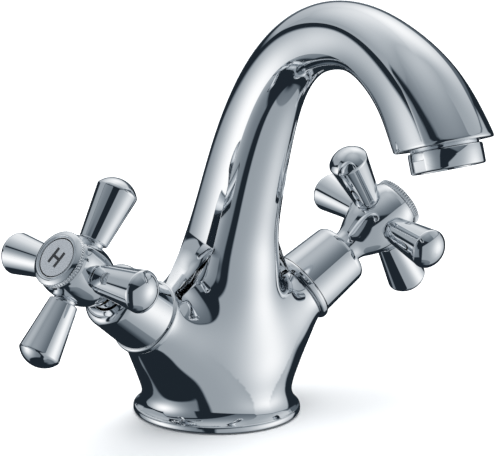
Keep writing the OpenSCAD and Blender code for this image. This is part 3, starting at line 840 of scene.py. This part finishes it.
finish_piece(aerator_collar(), "faucet", ["aerator_housing"], "chrome")
finish_piece(honeycomb(), "faucet", ["aerator_insert"], "white_plastic")


# ---- stage, light and camera

def paper_floor():
    """A plain pale floor just under the base, left out of the reflections."""
    half = 3.0
    obj = new_object("floor", [(-half, -half, 0), (half, -half, 0), (half, half, 0), (-half, half, 0)],
                     [(0, 1, 2, 3)], smooth=False)
    obj.data.materials.append(make_material("floor_paper", (0.93, 0.935, 0.94), 0.0, 0.6, 0.03, 3.0, 0.01))
    obj.location.z = -0.0004
    obj.visible_glossy = False


paper_floor()

# The studio round the object: lit panels on dark cloth, in degrees from the front and of elevation.
# reach: azimuth from and to, elevation from and to, soft edge. glow: level, then the brightest spot's azimuth
# and elevation, its spread across and up, and its gain. over, under: straight edges, each by the azimuth and
# elevation of its highest point; over also gives its soft width.
LEFT_GLOW = (0.25, -119, -13, 30, 27, 0.95)
LEFT_EDGE, FRONT_EDGE, RIGHT_EDGE = (-95, 38, 5), (-66, 38, 5), (42, 32, 1)
BACK_EDGE = (95, 24, 4)
PANELS = [
    dict(reach=(-39, 94, -64, 90, 6), glow=(0.44, 48, -8, 36, 32, 0.68), under=[(42, 31)]),
    dict(reach=(-39, 100, -82, -56, 16), glow=(0.20, 20, -56, 60, 20, 0.10)),
    dict(reach=(-119, -63, -10, 31.5, 4), glow=LEFT_GLOW),
    dict(reach=(-119, -56, -49, -7, 6), glow=LEFT_GLOW),
    dict(reach=(-168, -113, -49, 7.5, 5), glow=LEFT_GLOW, under=[(-63, 15), (-67, 45)]),
    dict(reach=(134, 156, -12, 9, 7), glow=(0.20, 145, -2, 16, 16, 0.05)),
    dict(reach=(-400, 400, 9, 120, 5), glow=(0.13, 0, 92, 9000, 44, 0.52),
         over=[LEFT_EDGE, FRONT_EDGE, RIGHT_EDGE]),
    dict(reach=(70, 262, 9, 120, 10), glow=(0.0, 150, 55, 110, 40, 0.95),
         over=[LEFT_EDGE, RIGHT_EDGE, BACK_EDGE]),
    dict(reach=(30, 191, 9, 120, 7), glow=(0.46, 130, 50, 46, 30, 0.66), over=[RIGHT_EDGE, BACK_EDGE]),
    dict(reach=(188, 240, 3, 120, 5), glow=(0.46, 150, 55, 110, 40, 0.0), over=[(-68, 28, 1), (165, 12, 4)]),
]
DARK = 0.031
TINT = (1.20, 1.09, 1.0)

world = bpy.data.worlds.new("studio")
world.use_nodes = True
tree = world.node_tree
tree.nodes.clear()


def compute(kind, *inputs):
    """One math node; returns its output. An input is a number or another node's output."""
    node = tree.nodes.new("ShaderNodeMath")
    node.operation = kind
    for i, value in enumerate(inputs):
        if isinstance(value, (int, float)):
            node.inputs[i].default_value = value
        else:
            tree.links.new(value, node.inputs[i])
    return node.outputs[0]


def ramp(value, low, high):
    """0 below low and 1 above high, with soft ends."""
    node = tree.nodes.new("ShaderNodeMapRange")
    node.interpolation_type = "SMOOTHSTEP"
    node.inputs["From Min"].default_value = low
    node.inputs["From Max"].default_value = high
    tree.links.new(value, node.inputs["Value"])
    return node.outputs["Result"]


def degrees(value):
    return compute("MULTIPLY", value, 180 / math.pi)


def outside(value):
    """One less the value, as an output."""
    return compute("SUBTRACT", 1.0, value)


direction = tree.nodes.new("ShaderNodeTexCoord").outputs["Generated"]
parts = tree.nodes.new("ShaderNodeSeparateXYZ")
tree.links.new(direction, parts.inputs[0])
azimuth = degrees(compute("ARCTAN2", parts.outputs[0], compute("MULTIPLY", parts.outputs[1], -1.0)))
elevation = degrees(compute("ARCSINE", parts.outputs[2]))


def apart(centre):
    """Degrees between the azimuth and a centre, the short way round."""
    return compute("ABSOLUTE", compute("WRAP", compute("SUBTRACT", azimuth, centre), 180.0, -180.0))


def beyond(top_az, top_el):
    """Degrees above the straight edge whose highest point is at that azimuth and elevation."""
    a, e = math.radians(top_az), math.radians(top_el)
    node = tree.nodes.new("ShaderNodeVectorMath")
    node.operation = "DOT_PRODUCT"
    tree.links.new(direction, node.inputs[0])
    node.inputs[1].default_value = (-math.sin(a) * math.sin(e), math.cos(a) * math.sin(e), math.cos(e))
    return degrees(compute("ARCSINE", node.outputs["Value"]))


def panel_light(reach, glow, over=(), under=()):
    """The light of one panel: its glow within its reach and its straight edges, and 0 elsewhere."""
    az0, az1, el0, el1, edge = reach
    low, at_az, at_el, wide, tall, gain = glow
    across = compute("DIVIDE", apart(at_az), wide)
    upward = compute("DIVIDE", compute("SUBTRACT", elevation, at_el), tall)
    away = compute("ADD", compute("MULTIPLY", across, across), compute("MULTIPLY", upward, upward))
    lit = compute("MULTIPLY_ADD", compute("EXPONENT", compute("MULTIPLY", away, -1.0)), gain, low)
    masks = [ramp(elevation, el0 - edge / 2, el0 + edge / 2)]
    masks.append(outside(ramp(elevation, el1 - edge / 2, el1 + edge / 2)))
    if az1 - az0 < 360:
        half = (az1 - az0) / 2
        masks.append(outside(ramp(apart((az0 + az1) / 2), half - edge / 2, half + edge / 2)))
    for top_az, top_el, soft in over:
        masks.append(ramp(beyond(top_az, top_el), -1.0, soft))
    for top_az, top_el in under:
        masks.append(outside(ramp(beyond(top_az, top_el), -1.5, 1.5)))
    for mask in masks:
        lit = compute("MULTIPLY", mask, lit)
    return lit


level = DARK
for panel in PANELS:
    level = compute("MAXIMUM", level, panel_light(**panel))
cool = tree.nodes.new("ShaderNodeCombineColor")
for i, power in enumerate(TINT):
    tree.links.new(compute("POWER", level, power), cool.inputs[i])
light = tree.nodes.new("ShaderNodeBackground")
tree.links.new(cool.outputs[0], light.inputs["Color"])
paper = tree.nodes.new("ShaderNodeBackground")
paper.inputs["Color"].default_value = (1, 1, 1, 1)
paths = tree.nodes.new("ShaderNodeLightPath")
either = tree.nodes.new("ShaderNodeMixShader")
tree.links.new(paths.outputs["Is Camera Ray"], either.inputs[0])
tree.links.new(light.outputs[0], either.inputs[1])
tree.links.new(paper.outputs[0], either.inputs[2])
surround = tree.nodes.new("ShaderNodeOutputWorld")
tree.links.new(either.outputs[0], surround.inputs["Surface"])
bpy.context.scene.world = world
bpy.context.scene.view_settings.view_transform = "Standard"


def top_softbox():
    """A square lamp overhead, aimed at the object and left out of its reflections."""
    lamp = bpy.data.lights.new("top_softbox", "AREA")
    lamp.shape = "RECTANGLE"
    lamp.size, lamp.size_y = 2.6, 2.6
    lamp.energy = 62
    obj = bpy.data.objects.new("top_softbox", lamp)
    obj.location = (0.0, 0.1, 1.6)
    aim = (Vector((0.0, -0.03, 0.07)) - obj.location).normalized()
    obj.rotation_euler = aim.to_track_quat("-Z", "Y").to_euler()
    obj.visible_glossy = False
    bpy.context.scene.collection.objects.link(obj)


top_softbox()

# the camera: degrees round from the front, up and of roll; millimetres away, and of its target's place
CAM_AZIMUTH, CAM_ELEVATION, CAM_ROLL = -38.385, 13.248, 0.661
CAM_DISTANCE = 804.98
TARGET_ASIDE, TARGET_HEIGHT = 11.067, 65.677
SENSOR, LENS = 36.0, 166.29768

az, el, roll = (math.radians(angle) for angle in (CAM_AZIMUTH, CAM_ELEVATION, CAM_ROLL))
back = Vector((math.sin(az) * math.cos(el), -math.cos(az) * math.cos(el), math.sin(el)))
level_right = Vector((math.cos(az), math.sin(az), 0))
level_up = back.cross(level_right)
right = level_right * math.cos(roll) + level_up * math.sin(roll)
up = level_up * math.cos(roll) - level_right * math.sin(roll)
place = right * TARGET_ASIDE + Vector((0, 0, TARGET_HEIGHT)) + back * CAM_DISTANCE
camera_data = bpy.data.cameras.new("camera")
camera_data.sensor_width = SENSOR
camera_data.lens = LENS
camera_data.clip_start, camera_data.clip_end = 0.05, 20.0
camera = bpy.data.objects.new("camera", camera_data)
camera.matrix_world = Matrix.Translation(place * MM) @ Matrix((right, up, back)).transposed().to_4x4()
bpy.context.scene.collection.objects.link(camera)
bpy.context.scene.camera = camera
